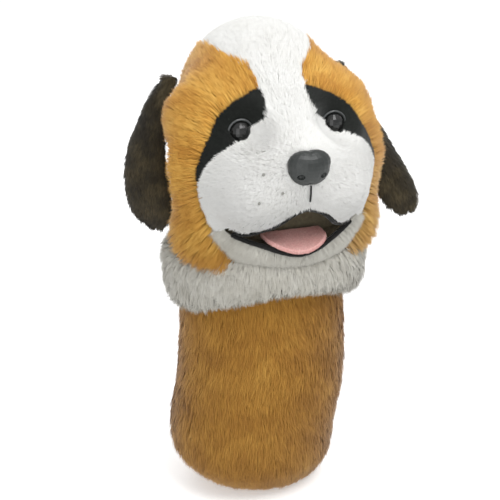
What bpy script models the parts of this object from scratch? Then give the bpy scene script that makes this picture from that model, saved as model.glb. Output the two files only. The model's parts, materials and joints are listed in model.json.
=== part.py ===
"""A plush puppy head cover for a golf driver: a stuffed dog's head on a long-pile sock.

The dog faces -Y and the sock's hem rests on Z = 0. The head's two halves mirror each other, but
the ears hang differently and only the dog's right cheek has whisker dots. The head is one smooth
form, blended from a few ellipsoids. Its plush panels are pieces of a shell of that form, parted along sewn outlines that
are drawn in front view, and the stuffing fills the space between the shell and the club pocket.
"""

import math

import bmesh
import bpy
import numpy as np
from mathutils import Matrix, Vector

MM = 0.001
GAP = 0.3 * MM  # between pieces that touch
NAME = "driver_head_cover"

# Driving dimensions, in millimetres, measured from the foot of the sock's axis.
SOCK_AXIS = (-16, 15.6, 0)  # where that is, so that the origin is below the middle of the whole cover
SIDE_RATIO = 0.9  # depth over width of the sock, neck and ruff
SLEEVE_OUTLINE = [(42, 0), (51, 8), (59, 22), (65, 42), (66, 90), (63, 150), (59, 174), (53.5, 190),
                  (53.5, 204)]
PILE_WALL = 8.5  # sock backing with its long pile
LINING_WALL = 1.5
HEM_HEIGHT = 14
HEM_WALL = 2.5
HEM_LIFT = 1.0  # of the hem's binding above the ground
NECK_RADIUS = 43.5  # inside of the elastic
NECK_BAND = (188, 206)
RUFF_CENTRE = (-4, 187)
RUFF_REACH = 76
RUFF_WALL = 16
RUFF_RISE = (10, 24)  # how far it stands above its centre at the sides and in front
RUFF_DROP = (28, 9)  # and how far it hangs below
HEAD_MIDDLE = (0, -14, 262)
FORM_MESH = (38, 25)  # segments and rings of the head's form
PANEL_WALL = 7.0
STUFFING_CLEARANCE = 2.3
POCKET_SIZE = (88, 56, 98)
POCKET_FLOOR = 220
POCKET_CORNER = 12
NECK_HOLE = 55
NECK_HOLE_TOP = 212
BACK_SEAM = 32  # where the back panel starts
SEAM_BACKS = {"muzzle": -26, "chin": -34, "patch": -26}  # how far back those panels reach
CHIN_SPLIT = 209  # height that parts the wad in the chin from the one in front
CHIN_WAD_HALF_WIDTH = 44
EYE_PLACE = (34.5, -48, 292.5)
EYE_RADIUS = 7.8
EYE_DEPTH = 6.5
STEM_RADII = {"eye": 2.2, "nose": 3.0}
WASHER_RADII = {"eye": 9.0, "nose": 10.0}
WASHER_WALL = 2.5
WASHER_CLEARANCE = 0.3
NOSE_PLACE = (0, -89, 275)
NOSE_SIZE = (29.5, 18, 23)
NOSTRIL_PLACE = (8.5, -4.5)  # beside and below the nose's middle
MOUTH_BACK = -50
MOUTH_FRONT = -66
BAG_WALL = 0.9
LIP_RADIUS = 1.7
LIP_END = 45  # how far from the middle the lips reach
TONGUE_HINGE = (0, -53, 219)
TONGUE_LENGTH = 27
TONGUE_HALF_WIDTH = 22
TONGUE_WALL = 3.2
EAR_HINGE = (71, 15, 319)
EAR_LENGTH = 113
EAR_WALL = 4.0
EAR_LINING_WALL = 2.0
PHILTRUM_HEIGHTS = (263.5, 258, 252)
WHISKER_DOTS = [(-31, 272), (-20, 260), (-36, 254)]  # on the dog's right only
FAR = 160  # beyond the head on every side

# Down each ear from 0 at the hinge to 1 at the tip: where its middle is from the hinge (x, y), half its
# width, and its turn in degrees from front-to-back towards side-to-side.
EAR_LEAVES = {
    "left": [(0, 0, -2, 5, 35), (0.12, 4, 0, 8, 40), (0.25, 8.5, 2, 11.5, 48), (0.5, 21, -2, 15.5, 66),
             (0.68, 30, -7, 16.5, 78), (0.82, 38, -11, 15.5, 84), (0.93, 44, -13, 12.5, 86), (1, 47, -14, 5, 86)],
    "right": [(0, 0, -2, 5, 30), (0.12, 2.5, 1, 7, 33), (0.25, 5, 5, 10, 40), (0.5, 9.5, 10, 14, 50),
              (0.68, 8.5, 12, 16.5, 53), (0.82, 6, 14, 16, 54), (0.93, 3, 15.5, 12.5, 54), (1, 0.5, 17, 4, 54)],
}

# The head's form: centre and radii of each ellipsoid, and how softly it blends with the rest. Each
# one off the middle stands for a pair.
HEAD_FORM = [
    ((0, 13, 298), (58, 54, 61), 0),  # cranium
    ((0, 7, 250), (67, 48, 60), 18),  # nape
    ((35, -13, 293), (43, 32, 35), 16),  # brows
    ((0, -33, 264), (80, 33, 50), 18),  # cheeks
    ((0, -28, 225), (75, 40, 45), 16),  # jowls
    ((0, -42, 262), (60, 50, 46), 12),  # muzzle
    ((25, -58, 251), (30, 34, 24), 8),  # upper lips
    ((0, -40, 212), (46, 38, 21), 10),  # jaw
]
SOCKET_PLACE = (34, -68, 300)
SOCKET_RADII = (17, 20, 15)
SOCKET_BLEND = 10

# Seams in front view, as (x, z) for the dog's left half; the other half mirrors them.
PATCH_SEAM = [(15, 319.5), (14.4, 313.5), (15.3, 307), (18.5, 301), (24.7, 296.2), (32.8, 290.8), (40, 287.2),
              (49.5, 284.8), (57, 277.8), (62.7, 269), (65.8, 258), (66.8, 267), (63.8, 276), (57.4, 289),
              (50.2, 300.6), (41.7, 308.3), (31.2, 314.2), (22.5, 318)]
CROWN_SEAM = [(26, 301), (21, 311), (15.3, 320), (17, 325.5), (22, 331), (30, 335.5), (38, 341), (52, 344),
              (120, 345), (120, 420)]
MUZZLE_SEAM = [(30, 304), (48, 292), (61, 277), (65.5, 264), (65.9, 257), (64.4, 247), (61, 235.8), (56.8, 226),
               (48.5, 227.5), (39, 224.2), (34, 221)]
CHIN_SEAM = [(57, 232), (56.8, 226), (52, 217), (45, 208), (36, 198), (30, 170)]
MOUTH_EDGE = [(0, 247.5), (8, 245.2), (14.5, 241.8), (22, 235), (27, 230.5), (33, 227), (39, 225.8),
              (45, 228.8), (49, 229.8), (51, 226), (46, 221.4), (36, 216.8), (26, 213.8), (14, 209.5), (0, 206.5)]

COLOURS = {
    "gold_pile": (0.34, 0.165, 0.036), "tan_pile": (0.50, 0.25, 0.065), "white_plush": (0.80, 0.79, 0.74),
    "chin_plush": (0.62, 0.60, 0.60), "black_plush": (0.012, 0.014, 0.013), "brown_plush": (0.045, 0.034, 0.018),
    "brown_lining": (0.06, 0.045, 0.026), "tongue_felt": (0.72, 0.36, 0.33), "mouth_felt": (0.035, 0.024, 0.017),
    "lip_felt": (0.010, 0.010, 0.010), "nose_plastic": (0.045, 0.050, 0.047), "eye_plastic": (0.010, 0.011, 0.011),
    "rim_plastic": (0.06, 0.065, 0.065), "washer_plastic": (0.75, 0.75, 0.72), "lining_cloth": (0.10, 0.10, 0.10),
    "elastic_band": (0.72, 0.71, 0.68), "stuffing": (0.85, 0.85, 0.83), "stitch_thread": (0.010, 0.010, 0.010),
}
ROUGHNESS = {"nose_plastic": 0.32, "eye_plastic": 0.08, "rim_plastic": 0.30, "washer_plastic": 0.45}


def clear_scene():
    for obj in list(bpy.data.objects):
        bpy.data.objects.remove(obj)


def new_collection(name):
    collection = bpy.data.collections.new(name)
    bpy.context.scene.collection.children.link(collection)
    return collection


def material(name):
    found = bpy.data.materials.get(name)
    if found:
        return found
    made = bpy.data.materials.new(name)
    made.use_nodes = True
    shader = made.node_tree.nodes["Principled BSDF"]
    shader.inputs["Base Color"].default_value = (*COLOURS[name], 1)
    shader.inputs["Roughness"].default_value = ROUGHNESS.get(name, 0.95)
    shader.inputs["Metallic"].default_value = 0
    made.diffuse_color = (*COLOURS[name], 1)
    return made


def place(obj, look):
    """Makes the object one of the cover's parts."""
    parts.objects.link(obj)
    obj.parent = root
    obj.data.materials.append(material(look))
    if obj.type == "MESH":
        obj.data.shade_smooth()
        obj.data.set_sharp_from_angle(angle=math.radians(50))
    return obj


def as_cutter(obj):
    cutters.objects.link(obj)
    obj.parent = root
    obj.hide_render = True
    obj.display_type = "WIRE"
    return obj


def boolean(obj, operation, other, solver="EXACT"):
    modifier = obj.modifiers.new(f"{operation.lower()} {other.name}", "BOOLEAN")
    modifier.operation = operation
    modifier.object = other
    modifier.solver = solver


def mesh_object(name, work):
    mesh = bpy.data.meshes.new(name)
    work.to_mesh(mesh)
    work.free()
    return bpy.data.objects.new(name, mesh)


def box(name, low, high):
    """A box between two corners given in millimetres."""
    work = bmesh.new()
    size = (Vector(high) - Vector(low)) * MM
    middle = (Vector(high) + Vector(low)) * MM / 2
    bmesh.ops.create_cube(work, size=1, matrix=Matrix.Translation(middle) @ Matrix.Diagonal((*size, 1)))
    return mesh_object(name, work)


def ball(name, place_mm, radii_mm, segments=20, rings=12):
    work = bmesh.new()
    shape = Matrix.Translation(Vector(place_mm) * MM) @ Matrix.Diagonal((*(Vector(radii_mm) * MM), 1))
    bmesh.ops.create_uvsphere(work, u_segments=segments, v_segments=rings, radius=1, matrix=shape)
    return mesh_object(name, work)


def peg(name, place_mm, radius_mm, length_mm, segments=18):
    """A cylinder that runs back along +Y from the place given."""
    work = bmesh.new()
    lie_back = Matrix.Rotation(math.radians(-90), 4, "X")
    middle = (Vector(place_mm) + Vector((0, length_mm / 2, 0))) * MM
    bmesh.ops.create_cone(work, cap_ends=True, segments=segments, radius1=radius_mm * MM, radius2=radius_mm * MM,
                          depth=length_mm * MM, matrix=Matrix.Translation(middle) @ lie_back)
    return mesh_object(name, work)


def turned(name, profile_mm, steps=36):
    """A profile of (radius, height) turned about Z, narrowed front to back like the sock.

    The profile closes on itself, unless it starts and ends on the axis."""
    mesh = bpy.data.meshes.new(name)
    points = [(r * MM, 0, z * MM) for r, z in profile_mm]
    edges = [(i, i + 1) for i in range(len(points) - 1)]
    if profile_mm[0][0] > 0:
        edges.append((len(points) - 1, 0))
    mesh.from_pydata(points, edges, [])
    obj = bpy.data.objects.new(name, mesh)
    screw = obj.modifiers.new("turn", "SCREW")
    screw.steps = steps
    screw.render_steps = steps
    screw.use_merge_vertices = True
    screw.merge_threshold = 0.00001
    obj.scale.y = SIDE_RATIO
    return obj


def mirrored_loop(half):
    """The full outline of a shape whose right half is given from top to bottom."""
    return half + [(-x, z) for x, z in reversed(half) if abs(x) > 1e-6]


def smooth_loop(points, steps=3):
    """A closed Catmull-Rom curve through the points."""
    count = len(points)
    loop = []
    for i in range(count):
        p0, p1, p2, p3 = (np.array(points[(i + k) % count], float) for k in (-1, 0, 1, 2))
        for step in range(steps):
            t = step / steps
            loop.append(0.5 * (2 * p1 + (p2 - p0) * t + (2 * p0 - 5 * p1 + 4 * p2 - p3) * t * t
                               + (3 * p1 - p0 - 3 * p2 + p3) * t ** 3))
    return np.array(loop)


def grown(loop, distance):
    """The outline moved outwards by the distance, whichever way round it runs."""
    before, after = np.roll(loop, 1, axis=0), np.roll(loop, -1, axis=0)
    along = after - before
    along /= np.linalg.norm(along, axis=1, keepdims=True)
    area = np.sum(loop[:, 0] * after[:, 1] - after[:, 0] * loop[:, 1])
    return loop + np.sign(area) * distance * np.stack([along[:, 1], -along[:, 0]], axis=1)


def prism(name, loop_mm, front, back):
    """An outline in front view (x, z), extruded from Y = front to Y = back."""
    curve = bpy.data.curves.new(name, "CURVE")
    curve.dimensions = "2D"
    curve.fill_mode = "BOTH"
    curve.extrude = (back - front) / 2 * MM
    spline = curve.splines.new("POLY")
    spline.points.add(len(loop_mm) - 1)
    for point, (x, z) in zip(spline.points, loop_mm):
        point.co = (x * MM, z * MM, 0, 1)
    spline.use_cyclic_u = True
    obj = bpy.data.objects.new(name, curve)
    obj.rotation_euler.x = math.radians(90)
    obj.location.y = (front + back) / 2 * MM
    return as_mesh(obj)


def as_mesh(curve_object):
    """The curve object turned into a mesh object whose caps are welded to its sides."""
    bpy.context.scene.collection.objects.link(curve_object)
    bpy.context.view_layer.update()
    graph = bpy.context.evaluated_depsgraph_get()
    mesh = bpy.data.meshes.new_from_object(curve_object.evaluated_get(graph))
    work = bmesh.new()
    work.from_mesh(mesh)
    bmesh.ops.remove_doubles(work, verts=work.verts, dist=1e-6)
    bmesh.ops.recalc_face_normals(work, faces=work.faces)
    work.to_mesh(mesh)
    work.free()
    name = curve_object.name
    matrix = curve_object.matrix_world.copy()
    bpy.data.objects.remove(curve_object)
    obj = bpy.data.objects.new(name, mesh)
    obj.matrix_world = matrix
    return obj


def tube(name, points_mm, radius_mm, look, closed=False):
    """A round cord through the points."""
    curve = bpy.data.curves.new(name, "CURVE")
    curve.dimensions = "3D"
    curve.bevel_depth = radius_mm * MM
    curve.bevel_resolution = 1
    curve.use_fill_caps = not closed
    spline = curve.splines.new("POLY")
    spline.points.add(len(points_mm) - 1)
    for point, co in zip(spline.points, points_mm):
        point.co = (*(Vector(co) * MM), 1)
    spline.use_cyclic_u = closed
    obj = bpy.data.objects.new(name, curve)
    return place(as_mesh(obj), look)


# --- The head's form ---------------------------------------------------------------------------


def smooth_min(a, b, blend):
    share = np.clip(0.5 + 0.5 * (b - a) / blend, 0, 1)
    return b * (1 - share) + a * share - blend * share * (1 - share)


def ellipsoid_distance(points, centre, radii):
    scaled = (points - np.array(centre)) / np.array(radii)
    reach = np.linalg.norm(scaled, axis=-1)
    slope = np.linalg.norm(scaled / np.array(radii), axis=-1)
    return reach * (reach - 1) / np.maximum(slope, 1e-9)


def head_distance(points):
    """How far points, in millimetres, lie outside the head's form."""
    points = np.concatenate([np.abs(points[..., :1]), points[..., 1:]], axis=-1)
    found = None
    for centre, radii, blend in HEAD_FORM:
        distance = ellipsoid_distance(points, centre, radii)
        found = distance if found is None else smooth_min(found, distance, blend)
    socket = ellipsoid_distance(points, SOCKET_PLACE, SOCKET_RADII)
    return -smooth_min(-found, socket, SOCKET_BLEND)


def reach_along(directions, inset):
    """Distance from the head's middle to the form, less the inset, along each unit direction."""
    near = np.zeros(len(directions))
    far = np.full(len(directions), 130.0)
    for _ in range(26):
        middle = (near + far) / 2
        points = np.array(HEAD_MIDDLE) + directions * middle[:, None]
        outside = head_distance(points) > -inset
        far = np.where(outside, middle, far)
        near = np.where(outside, near, middle)
    return (near + far) / 2


def head_form(name, inset, segments, rings):
    """A closed mesh of the head's form, its poles on the muzzle and the back of the head."""
    work = bmesh.new()
    bmesh.ops.create_uvsphere(work, u_segments=segments, v_segments=rings, radius=1,
                              matrix=Matrix.Rotation(math.radians(90), 4, "X"))
    directions = np.array([vertex.co.normalized()[:] for vertex in work.verts])
    reach = reach_along(directions, inset)
    for vertex, direction, distance in zip(work.verts, directions, reach):
        vertex.co = (Vector(HEAD_MIDDLE) + Vector(direction) * distance) * MM
    return mesh_object(name, work)


def surface_y(x, z, inset=0.0):
    """The Y of the face's surface at a point in front view, in millimetres."""
    near, far = -125.0, -10.0
    for _ in range(30):
        middle = (near + far) / 2
        if head_distance(np.array([x, middle, z], float)) > -inset:
            near = middle
        else:
            far = middle
    return (near + far) / 2


# --- Sock, neck and ruff -----------------------------------------------------------------------


def radius_at(outline, height):
    """The radius of an outline of (radius, height) at a height."""
    return float(np.interp(height, [z for _, z in outline], [r for r, _ in outline]))


def sleeve():
    outer = SLEEVE_OUTLINE
    inner = [(r - PILE_WALL, z) for r, z in outer]
    place(turned("sleeve_plush", list(reversed(outer)) + inner), "gold_pile")
    low = HEM_HEIGHT + GAP / MM
    clear = GAP / MM
    heights = [low] + [z for _, z in inner if low < z < NECK_BAND[0] - 2] + [NECK_BAND[0] - clear]
    lining = [(radius_at(inner, z) - clear, z) for z in reversed(heights)]
    lining_inside = [(r - LINING_WALL, z) for r, z in reversed(lining)]
    place(turned("sleeve_lining", lining + lining_inside), "lining_cloth")
    hem = [(radius_at(inner, z) - clear, z) for z in (HEM_HEIGHT, HEM_HEIGHT / 2, HEM_LIFT)]
    place(turned("hem_binding", hem + [(r - HEM_WALL, z) for r, z in reversed(hem)]), "lining_cloth")


def neck_band():
    """The elastic that grips the shaft below the club head, and its casing."""
    bottom, top = NECK_BAND
    casing_wall, elastic_wall, elastic_inset = 1.2, 1.0, 4
    outside = NECK_RADIUS - GAP / MM
    casing = [(outside, top), (outside, bottom), (outside - casing_wall, bottom), (outside - casing_wall, top)]
    place(turned("elastic_casing", casing), "lining_cloth")
    high, low = top - elastic_inset, bottom + elastic_inset
    elastic = [(NECK_RADIUS + elastic_wall, high), (NECK_RADIUS + elastic_wall, low),
               (NECK_RADIUS, low), (NECK_RADIUS, high)]
    place(turned("neck_elastic", elastic), "elastic_band")


def ruff(head_clearance):
    """A collar of long pile, rounded in section, that hangs lower at the sides than in front."""
    lean, height = RUFF_CENTRE
    steps, reach = 16, RUFF_WALL / 2 + 2
    profile = []
    for i in range(steps):
        angle = 2 * math.pi * i / steps
        profile.append((RUFF_REACH - reach + reach * math.sin(angle), math.cos(angle)))
    obj = turned("neck_ruff", profile, steps=40)
    place(obj, "white_plush")
    bpy.context.view_layer.update()
    graph = bpy.context.evaluated_depsgraph_get()
    shaped = bpy.data.meshes.new_from_object(obj.evaluated_get(graph))
    obj.modifiers.clear()
    obj.scale.y = 1
    for vertex in shaped.vertices:
        x, y, up = vertex.co / MM
        y *= SIDE_RATIO
        side, front = RUFF_RISE if up > 0 else RUFF_DROP
        frontness = max(0.0, -y / math.hypot(x, y)) ** 2
        reach = side + (front - side) * frontness
        vertex.co = Vector((x, y + lean, height + up * reach)) * MM
    obj.data = shaped
    boolean(obj, "DIFFERENCE", head_clearance)
    low, high = 90, 240  # well below and above the collar
    sleeve_space = [(r + 2 * GAP / MM, z) for r, z in reversed(SLEEVE_OUTLINE) if z >= low]
    bore = turned("ruff_bore", [(0, high), (sleeve_space[0][0], high)] + sleeve_space + [(0, low)], steps=40)
    boolean(obj, "DIFFERENCE", as_cutter(bore))


# --- The head ----------------------------------------------------------------------------------


def zone(name, half, front, back, rounded=True, mirror=True):
    """Two cutters of a seam outline: one to keep what is inside it, one to take it from neighbours."""
    points = mirrored_loop(half) if mirror else half
    loop = smooth_loop(points) if rounded else np.array(points, float)
    half_gap = GAP / MM / 2
    keep = as_cutter(prism(f"{name}_keep", grown(loop, -half_gap), front, back - half_gap))
    remove = as_cutter(prism(f"{name}_remove", grown(loop, half_gap), front, back + half_gap))
    return keep, remove


def slab(name, low, high):
    """Two cutters of a box: what is kept inside it, and what is taken from neighbours."""
    half = Vector((GAP / MM / 2,) * 3)
    keep = as_cutter(box(f"{name}_keep", Vector(low) + half, Vector(high) - half))
    remove = as_cutter(box(f"{name}_remove", Vector(low) - half, Vector(high) + half))
    return keep, remove


def head_piece(name, look, form, keep, remove):
    """Part of a form, by a chain of cuts so long that the exact solver loses some of the pieces."""
    obj = bpy.data.objects.new(name, form.data.copy())
    for cutter in keep:
        boolean(obj, "INTERSECT", cutter, "MANIFOLD")
    for cutter in remove:
        boolean(obj, "DIFFERENCE", cutter, "MANIFOLD")
    return place(obj, look)


def side_name(sign):
    return "left" if sign > 0 else "right"


def panels(outer, inner, holes):
    """The plush panels of the head, each a part of the shell between the two forms."""
    back_keep, back_remove = slab("back_zone", (-FAR, BACK_SEAM, 100), (FAR, FAR, 400))
    crown_keep, crown_remove = zone("crown_zone", list(reversed(CROWN_SEAM)), -FAR, FAR, rounded=False)
    muzzle_keep, muzzle_remove = zone("muzzle_zone", MUZZLE_SEAM, -FAR, SEAM_BACKS["muzzle"], rounded=False)
    chin_keep, chin_remove = zone("chin_zone", CHIN_SEAM, -FAR, SEAM_BACKS["chin"], rounded=False)
    patch_removes = []
    for sign in (1, -1):
        seam = [(sign * x, z) for x, z in PATCH_SEAM]
        keep, remove = zone(f"patch_zone_{side_name(sign)}", seam, -FAR, SEAM_BACKS["patch"], mirror=False)
        patch_removes.append(remove)
        head_piece(f"eye_patch_{side_name(sign)}", "black_plush", outer, [keep], [inner] + holes["patch"])
    head_piece("crown_panel", "white_plush", outer, [crown_keep], [inner, back_remove] + patch_removes)
    head_piece("muzzle_panel", "white_plush", outer, [muzzle_keep],
               [inner, crown_remove] + patch_removes + holes["muzzle"])
    head_piece("chin_panel", "chin_plush", outer, [chin_keep], [inner, muzzle_remove] + holes["chin"])
    head_piece("back_panel", "tan_pile", outer, [back_keep], [inner] + holes["neck"])
    seam_gap = GAP / MM / 2
    for sign in (1, -1):
        near_x, far_x = sorted((sign * seam_gap, sign * FAR))
        half = as_cutter(box(f"cheek_half_{side_name(sign)}", (near_x, -FAR, 100), (far_x, BACK_SEAM - seam_gap, 400)))
        removed = [inner, crown_remove, muzzle_remove, chin_remove] + patch_removes + holes["neck"]
        head_piece(f"cheek_panel_{side_name(sign)}", "tan_pile", outer, [half], removed)


def filling(form, holes):
    """Loose polyester stuffing, in the wads that surround the club pocket."""
    x, y = POCKET_SIZE[0] / 2 + 1, POCKET_SIZE[1] / 2 + 1
    top = POCKET_FLOOR + POCKET_SIZE[2] + 1
    gap = GAP / MM
    wedges = {
        "front": [(-x, -y), (x, -y), (x + FAR, -y - FAR), (-x - FAR, -y - FAR)],
        "back": [(-x, y), (-x - FAR, y + FAR), (x + FAR, y + FAR), (x, y)],
        "left": [(x, -y), (x, y), (x + FAR, y + FAR), (x + FAR, -y - FAR)],
        "right": [(-x, y), (-x, -y), (-x - FAR, -y - FAR), (-x - FAR, y + FAR)],
    }
    upper = as_cutter(box("wad_top_zone", (-FAR, -FAR, top), (FAR, FAR, 420)))
    upper_clear = as_cutter(box("wad_top_clear", (-FAR, -FAR, top - gap), (FAR, FAR, 420)))
    head_piece("stuffing_top", "stuffing", form, [upper], [])
    chin_clear = as_cutter(box("wad_chin_clear", (-FAR, -FAR, 100), (FAR, -y + 1, CHIN_SPLIT + gap)))
    chin_zone = as_cutter(box("wad_chin_zone", (-CHIN_WAD_HALF_WIDTH, -FAR, 100),
                              (CHIN_WAD_HALF_WIDTH, -y - 14, CHIN_SPLIT)))
    for name, corners in wedges.items():
        loop = grown(np.array(corners, float), -gap / 2)
        cutter = as_cutter(upright_prism(f"wad_zone_{name}", loop, 150, 400))
        removed = [upper_clear] + holes["neck"] + holes["stuffing"]
        if name == "front":
            removed = removed + [chin_clear]
        head_piece(f"stuffing_{name}", "stuffing", form, [cutter], removed)
    head_piece("stuffing_chin", "stuffing", form, [chin_zone], holes["neck"] + holes["chin"])


def upright_prism(name, loop_mm, bottom, top):
    """An outline in plan (x, y), extruded from Z = bottom to Z = top."""
    obj = prism(name, [(x, y) for x, y in loop_mm], 0, top - bottom)
    obj.rotation_euler.x = 0
    obj.location = (0, 0, (bottom + top) / 2 * MM)
    return obj


def pocket():
    """The fabric pocket that the club head sits in: a rounded box, open below."""
    width, depth, height = POCKET_SIZE
    obj = box("club_pocket", (-width / 2, -depth / 2, POCKET_FLOOR), (width / 2, depth / 2, POCKET_FLOOR + height))
    work = bmesh.new()
    work.from_mesh(obj.data)
    bmesh.ops.delete(work, geom=[min(work.faces, key=lambda f: f.calc_center_median().z)], context="FACES_ONLY")
    work.to_mesh(obj.data)
    work.free()
    place(obj, "lining_cloth")
    bevel = obj.modifiers.new("round", "BEVEL")
    bevel.width = POCKET_CORNER * MM
    bevel.segments = 4
    wall = obj.modifiers.new("cloth", "SOLIDIFY")
    wall.thickness = 1.2 * MM
    wall.offset = -1


def washer(name, place_mm, kind):
    """The plastic washer that a stem is pushed through behind the cloth."""
    x, y, z = place_mm
    obj = place(peg(name, place_mm, WASHER_RADII[kind], WASHER_WALL), "washer_plastic")
    bore = peg(f"{name}_bore", (x, y - 4, z), STEM_RADII[kind] + WASHER_CLEARANCE, WASHER_WALL + 8, 16)
    boolean(obj, "DIFFERENCE", as_cutter(bore))


def eye(sign, holes):
    """A domed safety eye: its dome and stem, the hole it sits in, its washer and its rim."""
    x, y, z = sign * EYE_PLACE[0], EYE_PLACE[1], EYE_PLACE[2]
    name = side_name(sign)
    stem_length, seat_margin, bore_margin, void_radius = 17, 2.8, 0.4, 10.5
    dome = place(ball(f"eye_{name}", (x, y, z), (EYE_RADIUS, EYE_DEPTH, EYE_RADIUS)), "eye_plastic")
    boolean(dome, "UNION", as_cutter(peg(f"eye_stem_{name}", (x, y + 1, z), STEM_RADII["eye"], stem_length, 12)))
    seat_radius = EYE_RADIUS + seat_margin
    seat = as_cutter(ball(f"eye_seat_{name}", (x, y, z), (seat_radius, EYE_DEPTH + 1, seat_radius), 18, 10))
    bore = as_cutter(peg(f"eye_bore_{name}", (x, y, z), STEM_RADII["eye"] + bore_margin, 30, 12))
    for where in ("patch", "muzzle"):
        holes[where] += [seat, bore]
    holes["stuffing"].append(as_cutter(peg(f"eye_void_{name}", (x, y - 6, z), void_radius, 26)))
    washer(f"eye_washer_{name}", (x, y + 13, z), "eye")
    eye_rim(name, (x, y, z))


def eye_rim(name, middle):
    """The moulded ring round the dome."""
    count, cord_radius, clearance, set_back = 20, 0.75, 1.2, 1.5
    reach = EYE_RADIUS + clearance
    points = []
    for i in range(count):
        angle = 2 * math.pi * i / count
        points.append((middle[0] + reach * math.cos(angle), middle[1] - set_back,
                       middle[2] + reach * math.sin(angle)))
    tube(f"eye_rim_{name}", points, cord_radius, "rim_plastic", closed=True)


def nose(holes):
    x, y, z = NOSE_PLACE
    stem_length, bore_margin, void_radius = 22, 0.4, 11
    pad = nose_form("nose", 0)
    place(pad, "nose_plastic")
    boolean(pad, "UNION", as_cutter(peg("nose_stem", (x, y + 2, z), STEM_RADII["nose"], stem_length, 16)))
    aside, below = NOSTRIL_PLACE
    for sign in (1, -1):
        middle = (sign * aside, y - NOSE_SIZE[1] / 2 + 1.5, z + below)
        boolean(pad, "DIFFERENCE", as_cutter(ball(f"nostril_{side_name(sign)}", middle, (3, 3.5, 2.2), 12, 8)))
    seat = as_cutter(nose_form("nose_seat", GAP / MM))
    holes["muzzle"] += [seat, as_cutter(peg("nose_bore", (x, y, z), STEM_RADII["nose"] + bore_margin, 36, 16))]
    holes["stuffing"] += [seat, as_cutter(peg("nose_void", (x, y - 2, z), void_radius, 27))]
    washer("nose_washer", (x, y + 16, z), "nose")


def nose_form(name, clearance):
    """A soft pad, broad and flat above and narrow below."""
    corner_fullness, narrowing = 0.34, 0.26
    width, depth, height = (side / 2 + clearance for side in NOSE_SIZE)
    obj = ball(name, (0, 0, 0), (width, depth, height), 22, 14)
    for vertex in obj.data.vertices:
        x, y, z = vertex.co / MM
        square = 1 + corner_fullness * abs(x / width) * abs(z / height)
        taper = 1 - narrowing * max(0.0, -z / height)
        vertex.co = Vector((x * taper * square, y, z * square)) * MM
    obj.data.transform(Matrix.Translation(Vector(NOSE_PLACE) * MM))
    return obj


def mouth(holes):
    """The felt-lined mouth and its two lips."""
    loop = smooth_loop(mirrored_loop(MOUTH_EDGE), 2)
    hole = as_cutter(prism("mouth_hole", loop, -130, MOUTH_BACK + 2.5))
    for where in ("muzzle", "chin", "stuffing"):
        holes[where].append(hole)
    bag = place(prism("mouth_lining", grown(loop, -GAP / MM), MOUTH_FRONT, MOUTH_BACK + 2.2), "mouth_felt")
    space = prism("mouth_space", grown(loop, -GAP / MM - BAG_WALL), -130, MOUTH_BACK + 1)
    boolean(bag, "DIFFERENCE", as_cutter(space))
    boolean(bag, "INTERSECT", as_cutter(head_form("mouth_trim_form", 5.5, 40, 26)))
    line = grown(loop, -LIP_RADIUS - GAP / MM)
    upper = [(x, z) for x, z in line if z > lip_split(x) and abs(x) < LIP_END]
    lower = [(x, z) for x, z in line if z < lip_split(x) and abs(x) < LIP_END]
    for name, edge in (("lip_upper", upper), ("lip_lower", lower)):
        edge.sort()
        tube(name, [(x, surface_y(x, z, 1.0), z) for x, z in edge], LIP_RADIUS, "lip_felt")


def lip_split(x):
    """The height that parts the upper lip from the lower one."""
    return 225.5 - 5 * max(0.0, 1 - abs(abs(x) - 34) / 14)


def tongue():
    """A felt tongue that lies over the lower lip. Its origin is its seam at the back of the mouth."""
    columns, rows, root_gap = 12, 12, 1.5
    work = bmesh.new()
    bmesh.ops.create_grid(work, x_segments=columns, y_segments=rows, size=1)
    for vertex in work.verts:
        across, along = vertex.co.x, math.sin(math.pi / 4 * (1 - vertex.co.y))
        width = TONGUE_HALF_WIDTH * math.sqrt(max(0.0, 1 - max(0.0, (along - 0.45) / 0.55) ** 2) + 0.02)
        trough = 1 - (across * width / TONGUE_HALF_WIDTH) ** 2
        drop = along ** 2 + 6 * along * trough
        vertex.co = Vector((across * width, -root_gap - along * TONGUE_LENGTH, -drop)) * MM
    bmesh.ops.recalc_face_normals(work, faces=work.faces)
    obj = mesh_object("tongue", work)
    obj.location = Vector(TONGUE_HINGE) * MM
    place(obj, "tongue_felt")
    wall = obj.modifiers.new("felt", "SOLIDIFY")
    wall.thickness = TONGUE_WALL * MM
    wall.offset = 0


def stitches():
    """The line from the nose to the lip, and the dots that the whiskers would grow from."""
    thread_radius, dot_radii, stand_off = 0.7, (1.1, 0.6, 1.1), 1.0
    points = [(0, surface_y(0, z) - stand_off - 0.2, z) for z in PHILTRUM_HEIGHTS]
    tube("philtrum_stitch", points, thread_radius, "stitch_thread")
    for number, (x, z) in enumerate(WHISKER_DOTS, 1):
        place(ball(f"whisker_dot_{number}", (x, surface_y(x, z) - stand_off, z), dot_radii, 8, 5), "stitch_thread")


# --- Ears --------------------------------------------------------------------------------------


def smooth_values(table, places):
    """Rows of a table at places between its first column's values, on a smooth curve through them."""
    table = np.array(table, float)
    stops = table[:, 0]
    slopes = np.gradient(table[:, 1:], stops, axis=0)
    row = np.clip(np.searchsorted(stops, places, side="right") - 1, 0, len(stops) - 2)
    width = (stops[row + 1] - stops[row])[:, None]
    t = (places - stops[row])[:, None] / width
    return ((2 * t ** 3 - 3 * t ** 2 + 1) * table[row, 1:] + (t ** 3 - 2 * t ** 2 + t) * width * slopes[row]
            + (3 * t ** 2 - 2 * t ** 3) * table[row + 1, 1:] + (t ** 3 - t ** 2) * width * slopes[row + 1])


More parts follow.
